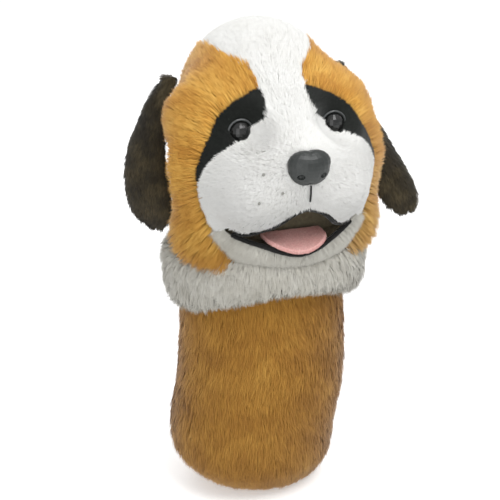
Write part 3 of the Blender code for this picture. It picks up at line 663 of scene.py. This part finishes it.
PROFILE_POINTS = 130
SOCK_SEGMENTS = 220
LINING_SEGMENTS = 288
LINING_GATHERS = 48
SOCK_PILE_TOP = 186  # the ruff covers it above this
RUFF_TURNS, RUFF_SECTIONS = 200, 60
RUFF_SQUARENESS = 0.9  # 1 would make its section an ellipse


def smooth_profile(outline, count):
    """A smooth line of that many points through an outline (radius, height)."""
    outline = np.array(outline, float)
    padded = np.concatenate([[2 * outline[0] - outline[1]], outline, [2 * outline[-1] - outline[-2]]])
    line = []
    for i in range(1, len(padded) - 2):
        a, b, c, d = padded[i - 1:i + 3]
        for t in np.linspace(0, 1, 24, endpoint=False):
            line.append(0.5 * (2 * b + (c - a) * t + (2 * a - 5 * b + 4 * c - d) * t * t
                               + (3 * b - 3 * c + d - a) * t ** 3))
    line = np.array(line + [outline[-1]])
    run = np.concatenate([[0], np.cumsum(np.linalg.norm(np.diff(line, axis=0), axis=1))])
    places = np.linspace(0, run[-1], count)
    return np.stack([np.interp(places, run, line[:, 0]), np.interp(places, run, line[:, 1])], axis=1)


def turned(profile, segments):
    """Points, quads and outward normals of a profile turned round the sock's axis."""
    turn = np.linspace(0, 2 * math.pi, segments, endpoint=False)[None]
    radius, height = profile[:, :1], profile[:, 1:]
    points = np.stack([radius * np.cos(turn), radius * np.sin(turn) * SIDE_RATIO,
                       np.broadcast_to(height, (len(profile), segments))], axis=-1).reshape(-1, 3)
    faces = grid_faces(len(profile), segments, wrap=True)
    return points, faces, mesh_normals(points, faces)


def hanging(roots, normals):
    """Downwards, in slow waves."""
    wave = (mottle(roots, 26, 3) - 0.5) * 0.6
    round_way = unit(np.cross(normals, (0, 0, 1.0)))
    return np.array((0, 0, -1.0)) + round_way * wave[:, None]


def sagged(points):
    """The sock's points, slumped towards the dog's right."""
    slump = SOCK_SAG * np.exp(-((points[:, 2:] - SOCK_SAG_HEIGHT) / SOCK_SAG_SPREAD) ** 2)
    return points - slump * (1, 0, 0)


def sock_lining(looks):
    """The woven lining, in fine gathers, that shows through the hem."""
    profile = smooth_profile(SOCK_OUTLINE, PROFILE_POINTS)
    bottom, top = LINING_ENDS
    profile = profile[(profile[:, 1] > bottom) & (profile[:, 1] < top)]
    points, faces, normals = turned(profile, LINING_SEGMENTS)
    turn = np.arctan2(points[:, 1], points[:, 0])[:, None]
    gathers = 0.35 * np.cos(LINING_GATHERS * turn) + 0.5 * (mottle(points, 14, 9)[:, None] - 0.5)
    points = sagged(points - normals * (LINING_INSET + gathers))
    lining = mesh_object("sleeve_lining_cloth", points, faces, looks["lining_cloth"])
    cloth_wall(lining, LINING_CLOTH)
    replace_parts(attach(lining, "cover"), "sleeve_lining")


def sock(looks, rng):
    """The long-pile sock."""
    points, faces, normals = turned(smooth_profile(SOCK_OUTLINE, PROFILE_POINTS), SOCK_SEGMENTS)
    points = sagged(points - normals * SOCK_INSET)
    points[:, 2] = np.maximum(points[:, 2], HEM_CLEARANCE)
    skin = mesh_object("sock_skin", points, faces, looks["sock_skin"])
    cloth_wall(skin, SOCK_CLOTH)
    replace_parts(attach(skin, "cover"), "sleeve_plush")
    hairy = faces[points[faces].mean(axis=1)[:, 2] < SOCK_PILE_TOP]

    def length(roots):
        return 9 + 7 * step(roots[:, 2], 4, 34)

    pile("sock_pile", (points, normals, hairy), looks["sock_pile"], "gold_pile", rng, 110000, length, 24,
         hanging, width=0.62, levels=3, gather=(0.03, 0.45), ground=0.3, shade_size=16, shade_range=0.26)


def ruff_form():
    """Points, quads and outward normals of a soft ring that hangs lower at the sides than in front."""
    turn = np.linspace(0, 2 * math.pi, RUFF_TURNS, endpoint=False)[:, None]
    section = np.linspace(0, 2 * math.pi, RUFF_SECTIONS, endpoint=False)[None]
    front = np.clip(-np.sin(turn), 0, 1) ** 2
    rise, drop = (side + (ahead - side) * front for side, ahead in (RUFF_RISE, RUFF_DROP))
    aside, up = (np.sign(value) * np.abs(value) ** RUFF_SQUARENESS
                 for value in (np.sin(section), np.cos(section)))
    height = np.where(up > 0, rise, drop) * up
    radius = RUFF_RADIUS + RUFF_HALF_WALL * aside + np.zeros_like(turn)
    rings = np.stack([radius * np.cos(turn), radius * np.sin(turn) * SIDE_RATIO, height], axis=-1)
    points = rings.reshape(-1, 3) + RUFF_CENTRE
    faces = closed_grid_faces(RUFF_TURNS, RUFF_SECTIONS)
    normals = mesh_normals(points, faces)
    outward = rings - rings.mean(axis=1, keepdims=True)
    if np.sum(outward.reshape(-1, 3) * normals) < 0:
        return points, faces[:, ::-1], -normals
    return points, faces, normals


def ruff(looks, rng):
    """The long-pile collar below the jaw."""
    points, faces, normals = ruff_form()
    skin = mesh_object("ruff_skin", points, faces, looks["ruff_skin"])
    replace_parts(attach(skin, "cover"), "neck_ruff")
    centres = points[faces].mean(axis=1)
    outside = np.hypot(centres[:, 0], centres[:, 1] / SIDE_RATIO) > RUFF_RADIUS - 6
    clear_of_head = head_distance(centres) > -4

    def comb(roots, normals):
        out = roots * (1, 1, 0)
        return np.array((0, 0, -1.0)) + unit(out) * 0.25 + (hanging(roots, normals) * (1, 1, 0)) * 0.8

    def length(roots):
        return 11 + 5 * step(-roots[:, 2], -200, -170)

    pile("ruff_pile", (points, normals, faces[outside & clear_of_head]), looks["ruff_pile"], "chin_plush",
         rng, 60000, length, 44, comb, levels=3, shade_size=9, shade_range=0.25)


# --- Ears --------------------------------------------------------------------------------------

EAR_ROWS, EAR_COLUMNS = 84, 34


def smooth_values(table, places):
    """Rows of a table at places between its first column's values, on a smooth curve through them."""
    table = np.array(table, float)
    at = table[:, 0]
    slopes = np.gradient(table[:, 1:], at, axis=0)
    row = np.clip(np.searchsorted(at, places, side="right") - 1, 0, len(at) - 2)
    width = (at[row + 1] - at[row])[:, None]
    t = (places - at[row])[:, None] / width
    return ((2 * t ** 3 - 3 * t ** 2 + 1) * table[row, 1:] + (t ** 3 - 2 * t ** 2 + t) * width * slopes[row]
            + (3 * t ** 2 - 2 * t ** 3) * table[row + 1, 1:] + (t ** 3 - t ** 2) * width * slopes[row + 1])


def ear_leaf(side, down, share):
    """Points of an ear's middle sheet from its hinge, as on the left, in rows from front to back."""
    x, y, half_width, turn = (column[:, None] for column in smooth_values(EAR_LEAVES[side], down).T)
    turn = np.radians(turn)
    reach = share[None] * half_width
    cupping = 3 * (1 - share[None] ** 2) * np.sin(math.pi * down[:, None])
    drop = -2 - down[:, None] * EAR_LENGTH + np.zeros_like(reach)
    return np.stack([x + reach * np.sin(turn) + cupping * np.cos(turn),
                     y + reach * np.cos(turn) - cupping * np.sin(turn), drop], axis=-1)


def ear_sheet(side):
    """Points, quads and outward normals of an ear's middle sheet, and how full its cloths are along it."""
    down = np.linspace(0.0, 1, EAR_ROWS) ** 0.9
    share = np.linspace(-1, 1, EAR_COLUMNS)
    tuck = (1 - step(down, 0, EAR_TUCKED_SHARE))[:, None, None]
    leaf = (ear_leaf(side, down, share) + tuck * EAR_TUCK).reshape(-1, 3)
    faces = grid_faces(EAR_ROWS, EAR_COLUMNS, wrap=False)
    outward = mesh_normals(leaf, faces)
    if outward[:, 0].mean() < 0:
        outward = -outward
    swell = 0.25 + 0.75 * (1 - np.abs(share[None]) ** 4) * (1 - down[:, None] ** 8)
    return leaf, faces, outward, swell.reshape(-1, 1)


def shell_faces(faces):
    """Quads of a closed shell: a sheet's own, the same behind it turned round, and a strip round its edge."""
    rows, columns = EAR_ROWS, EAR_COLUMNS
    rim = np.concatenate([np.arange(columns), np.arange(1, rows) * columns + columns - 1,
                          (rows - 1) * columns + np.arange(columns - 2, -1, -1),
                          np.arange(rows - 2, 0, -1) * columns])
    rim_next = np.roll(rim, -1)
    behind = rows * columns
    edge = np.stack([rim, rim_next, rim_next + behind, rim + behind], axis=1)
    return np.concatenate([faces, faces[:, ::-1] + behind, edge[:, ::-1]])


def ear(side, looks, rng):
    """An ear: a plush cloth outside, a thinner one inside, and the pile on both."""
    leaf, faces, outward, swell = ear_sheet(side)
    flip = np.array((SIDES[side], 1, 1))

    def comb(roots, normals):
        aside = (mottle(roots, 12, 5)[:, None] - 0.5) * (0, 1.2, 0)
        return np.array((0.15 * SIDES[side], 0, -1.0)) + aside

    for layer, look, slot, (start, end), count, length in EAR_LAYERS:
        near = leaf + outward * start
        far = leaf + outward * (start + (end - start) * swell)
        placed = (np.concatenate([far, near]) + EAR_HINGE) * flip
        shell = shell_faces(faces)
        normals = mesh_normals(placed, shell)
        facing = outward * flip * np.sign(end)
        if np.sum(normals[:len(leaf)] * facing) < 0:
            shell, normals = shell[:, ::-1], -normals
        skin = mesh_object(f"ear_{layer}_skin_{side}", placed, shell, looks[f"{look}_skin"])
        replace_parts(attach(skin, f"{side}_ear"), f"ear_{layer}_{side}")
        covered = shell[:len(faces)]
        if layer == "outer":
            covered = np.concatenate([covered, shell[2 * len(faces):]])
        pile(f"ear_{layer}_pile_{side}", (placed, normals, covered), looks[f"{look}_pile"], slot, rng, count,
             length, 26, comb, width=0.6, body=f"{side}_ear", shade_size=10, shade_range=0.45)


# --- Felt --------------------------------------------------------------------------------------

# felt pieces that keep their CAD form: look, material slot, voxel size and strands of nap
FELT_PIECES = {
    "tongue": ("tongue", "tongue_felt", 0.5, 9000),
    "lip_upper": ("lip", "lip_felt", 0.5, 6000),
    "lip_lower": ("lip", "lip_felt", 0.5, 6000),
    "mouth_lining": ("mouth", "mouth_felt", 0.7, 12000),
}
NAP_LENGTH = 0.9
NAP_WIDTH = 0.2


def remeshed(name, node, voxel):
    """Points, quads and normals of a CAD node's form with its facets and corners rounded."""
    copy = bpy.data.objects.new(name, node.data.copy())
    bpy.context.scene.collection.objects.link(copy)
    remesh = copy.modifiers.new("even", "REMESH")
    remesh.mode = "VOXEL"
    remesh.voxel_size = voxel * MM
    smooth = copy.modifiers.new("round", "SMOOTH")
    smooth.factor = 0.5
    smooth.iterations = 6
    evaluated = copy.evaluated_get(bpy.context.evaluated_depsgraph_get())
    mesh = evaluated.to_mesh()
    points = np.empty(len(mesh.vertices) * 3)
    mesh.vertices.foreach_get("co", points)
    faces = np.array([tuple(face.vertices) for face in mesh.polygons if len(face.vertices) == 4])
    evaluated.to_mesh_clear()
    bpy.data.objects.remove(copy)
    points = points.reshape(-1, 3) / MM - AXIS
    return points, faces, mesh_normals(points, faces)


def matted(roots, normals):
    """Every way, in small patches, as felt lies."""
    return np.stack([mottle(roots, 2, seed) - 0.5 for seed in (11, 12, 13)], axis=1)


def felt_pieces(nodes, looks, rng):
    """The felt of the mouth as soft cloth, each piece with a short nap."""
    for name, (kind, slot, voxel, strands) in FELT_PIECES.items():
        body = body_of(nodes[name])[0]
        points, faces, normals = remeshed(f"{name}_form", nodes[name], voxel)
        felt = mesh_object(f"{name}_felt", points, faces, looks[f"{kind}_skin"])
        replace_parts(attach(felt, body), name)
        pile(f"{name}_nap", (points, normals, faces), looks[f"{kind}_pile"], slot, rng, strands, NAP_LENGTH,
             30, matted, width=NAP_WIDTH, gather=(0.2, 0.2), body=body, shade_size=4, shade_range=0.3)


# --- Studio ------------------------------------------------------------------------------------

CAMERA_ANGLES = (-20, 20)  # azimuth and elevation
CAMERA_DISTANCE = 1.0
FLOOR_REACH = 6000.0
# each soft light: its place and what it faces in metres, its size and its power
LIGHTS = {"key": ((0.25, -0.75, 1.5), (0, 0, 0.22), 0.9, 13),
          "fill": ((-0.7, -1.4, 0.5), (0, 0, 0.2), 1.2, 6),
          "back": ((-0.2, 1.3, 1.2), (0, 0, 0.2), 1.2, 6)}


def area_light(name, place, target, size, energy):
    """A square light that faces its target."""
    data = bpy.data.lights.new(name, "AREA")
    data.size = size
    data.energy = energy
    lamp = bpy.data.objects.new(name, data)
    lamp.location = place
    lamp.rotation_euler = (Vector(target) - Vector(place)).to_track_quat("-Z", "Y").to_euler()
    bpy.context.scene.collection.objects.link(lamp)


def add_camera():
    scene = bpy.context.scene
    camera = bpy.data.objects.new("camera", bpy.data.cameras.new("camera"))
    scene.collection.objects.link(camera)
    target = Vector((CAMERA_TARGET + AXIS) * MM)
    azimuth, elevation = (math.radians(angle) for angle in CAMERA_ANGLES)
    away = Vector((math.sin(azimuth) * math.cos(elevation), -math.cos(azimuth) * math.cos(elevation),
                   math.sin(elevation)))
    camera.location = target + away * CAMERA_DISTANCE
    camera.rotation_euler = (-away).to_track_quat("-Z", "Y").to_euler()
    camera.data.lens = 96
    camera.data.sensor_width = 36
    camera.data.clip_start = 0.01
    scene.camera = camera


def add_world():
    world = bpy.data.worlds.new("studio")
    world.use_nodes = True
    background = world.node_tree.nodes["Background"]
    background.inputs["Color"].default_value = (1, 1, 1, 1)
    background.inputs["Strength"].default_value = 0.76
    bpy.context.scene.world = world


def add_floor():
    """A pale floor that shows white without throwing much light up under the chin."""
    corners = np.array([(-1, -1, 0), (1, -1, 0), (1, 1, 0), (-1, 1, 0)]) * FLOOR_REACH - AXIS * (1, 1, 0)
    look = mottled_material("floor", (0.90, 0.90, 0.90), (0.92, 0.92, 0.92), 3.0, 0.9,
                            Emission_Color=(1, 1, 1, 1), Emission_Strength=0.35)
    floor = mesh_object("floor", corners, np.array([[0, 1, 2, 3]]), look)
    floor.visible_diffuse = False


def studio():
    add_camera()
    bpy.context.scene.view_settings.view_transform = "Standard"
    add_world()
    for name, facts in LIGHTS.items():
        area_light(name, *facts)
    add_floor()


# --- Looks of the pieces -----------------------------------------------------------------------

# shades of each plush and felt, dark to light
TAN = [(0.48, 0.21, 0.028), (0.64, 0.315, 0.05), (0.73, 0.40, 0.074), (0.83, 0.51, 0.118)]
GOLD = [(0.31, 0.135, 0.018), (0.41, 0.187, 0.026), (0.50, 0.245, 0.037), (0.60, 0.32, 0.058)]
WHITE = [(0.84, 0.835, 0.80), (0.90, 0.90, 0.875), (0.95, 0.95, 0.93)]
# the white plush of the chin and the ruff, greyed down: painted shade under the head
SHADED_WHITE = [(0.58, 0.56, 0.49), (0.69, 0.67, 0.60), (0.78, 0.765, 0.70)]
BLACK = [(0.004, 0.005, 0.004), (0.007, 0.009, 0.007), (0.014, 0.017, 0.014)]
BROWN = [(0.018, 0.013, 0.006), (0.040, 0.030, 0.013), (0.085, 0.064, 0.030)]
PINK = [(0.84, 0.42, 0.39), (0.92, 0.54, 0.50), (0.96, 0.66, 0.61)]
DARK_FELT = [(0.006, 0.006, 0.006), (0.010, 0.010, 0.009), (0.018, 0.017, 0.016)]
MOUTH_FELT = [(0.17, 0.14, 0.088), (0.21, 0.18, 0.115), (0.26, 0.225, 0.15)]
# each kind of pile: its shades, and how much of its brightness its roots keep under the painted shade deep in
# the pile
PILE_LOOKS = {"crown": (WHITE, 0.86), "muzzle": (WHITE, 0.9), "patch": (BLACK, 0.7),
              "chin": (SHADED_WHITE, 0.85), "cheek": (TAN, 0.62), "back": (TAN, 0.62),
              "ruff": (SHADED_WHITE, 0.8), "sock": (GOLD, 0.66), "ear": (BROWN, 0.6),
              "ear_lining": (BROWN, 0.6), "tongue": (PINK, 0.9), "lip": (DARK_FELT, 0.8),
              "mouth": (MOUTH_FELT, 0.8)}
# each hard or hidden piece: two shades, noise scale and roughness, then the strength and depth of its bump
NODE_LOOKS = {
    "nose_satin": ((0.015, 0.018, 0.017), (0.024, 0.028, 0.026), 900, 0.40, 0.25, 0.05),
    "dot_thread": ((0.20, 0.20, 0.18), (0.34, 0.34, 0.31), 2500, 0.9, 0.5, 0.1),
    "eye_gloss": ((0.008, 0.009, 0.009), (0.014, 0.014, 0.013), 300, 0.17),
    "rim_gloss": ((0.05, 0.055, 0.055), (0.075, 0.08, 0.08), 900, 0.28),
    "washer_plastic": ((0.70, 0.70, 0.67), (0.78, 0.78, 0.75), 400, 0.45),
    "thread": ((0.008, 0.008, 0.008), (0.02, 0.02, 0.02), 2500, 0.8, 0.5, 0.1),
    "lining_cloth": ((0.07, 0.07, 0.07), (0.13, 0.13, 0.13), 1500, 0.8, 0.4, 0.1),
    "elastic": ((0.62, 0.61, 0.58), (0.78, 0.77, 0.74), 1500, 0.75, 0.5, 0.2),
    "stuffing": ((0.78, 0.78, 0.76), (0.9, 0.9, 0.88), 200, 0.95, 0.8, 1.0),
}
# how the names of the CAD nodes that keep their form begin, and their looks
DRESSED_NODES = {"nose_washer": "washer_plastic", "eye_washer": "washer_plastic", "eye_rim": "rim_gloss",
                 "nose": "nose_satin", "eye_left": "eye_gloss", "eye_right": "eye_gloss",
                 "philtrum_stitch": "thread", "whisker_dot": "dot_thread", "hem_binding": "lining_cloth",
                 "elastic_casing": "lining_cloth", "club_pocket": "lining_cloth", "neck_elastic": "elastic",
                 "stuffing": "stuffing"}


def make_looks():
    """Every material, by name: the pile and the skin of each kind, and those of the CAD pieces."""
    looks = {name: mottled_material(name, *facts) for name, facts in NODE_LOOKS.items()}
    for kind, (shades, root) in PILE_LOOKS.items():
        looks[f"{kind}_pile"] = pile_material(f"{kind}_pile", shades, root)
        dark, light = (tuple(0.8 * value for value in shades[i]) for i in (0, len(shades) // 2))
        looks[f"{kind}_skin"] = mottled_material(f"{kind}_backing", dark, light, 500, 0.95, 0.5, 0.4)
    return looks


def dress_nodes(nodes, looks):
    """Gives the CAD pieces that keep their form their materials."""
    for name, node in nodes.items():
        for start, look in DRESSED_NODES.items():
            if name.startswith(start):
                node.data.materials.clear()
                node.data.materials.append(looks[look])
                break


# --- The whole ---------------------------------------------------------------------------------

for startup_object in list(bpy.data.objects):
    bpy.data.objects.remove(startup_object)
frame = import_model()
low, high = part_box("sleeve_plush")
AXIS = np.array([(low.x + high.x) / 2, (low.y + high.y) / 2, 0.0]) / MM
random_source = np.random.default_rng(20)
all_looks = make_looks()
dress_nodes(frame["nodes"], all_looks)
sock_lining(all_looks)
sock(all_looks, random_source)
ruff(all_looks, random_source)
head(all_looks, random_source)
for ear_side in SIDES:
    ear(ear_side, all_looks, random_source)
felt_pieces(frame["nodes"], all_looks, random_source)
studio()
